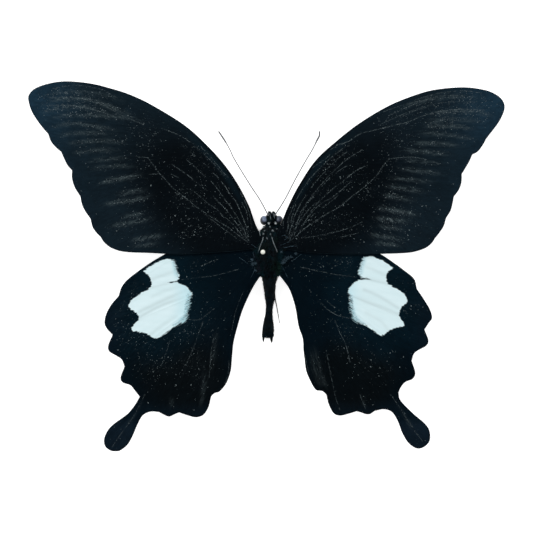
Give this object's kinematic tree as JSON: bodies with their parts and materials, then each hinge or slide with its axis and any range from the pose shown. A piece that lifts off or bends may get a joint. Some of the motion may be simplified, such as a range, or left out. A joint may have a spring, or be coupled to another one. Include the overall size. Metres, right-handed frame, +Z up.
{
  "type": "pinned butterfly specimen",
  "caption": "Spread black swallowtail butterfly specimen with pale hindwing patches and tails, back up on a trimmed insect pin, to lie in a display case or drawer.",
  "frame": {"origin": "centre of the specimen's extents, on the surface it lies on", "axes": "+X along the wing span to the picture's right, +Y towards the head, +Z up from the surface, out of the specimen's back"},
  "size_m": [0.119, 0.0926, 0.01],
  "materials": {
    "forewing_scales": "velvety blue-black wing scales with pale dusted rays",
    "hindwing_scales": "velvety black wing scales with a pale bluish-white patch",
    "body_fuzz": "black hairy body with pale dots and lines",
    "eye_facets": "glossy bluish-violet compound eye",
    "antenna_shell": "dark grey ringed antenna and proboscis",
    "leg_shell": "dark dry leg with fine spines",
    "pin_enamel": "glossy cream pin head on a steel shaft"
  },
  "bodies": {
    "root": {"forewing_left": "forewing_scales", "forewing_right": "forewing_scales", "hindwing_left": "hindwing_scales", "hindwing_right": "hindwing_scales", "head": "body_fuzz", "thorax": "body_fuzz", "abdomen": "body_fuzz", "eye_left": "eye_facets", "eye_right": "eye_facets", "antenna_left": "antenna_shell", "antenna_right": "antenna_shell", "palp_left": "body_fuzz", "palp_right": "body_fuzz", "proboscis": "antenna_shell", "leg_front_left": "leg_shell", "leg_front_right": "leg_shell", "leg_middle_left": "leg_shell", "leg_middle_right": "leg_shell", "leg_hind_left": "leg_shell", "leg_hind_right": "leg_shell", "insect_pin": "pin_enamel"}
  },
  "joints": []
}
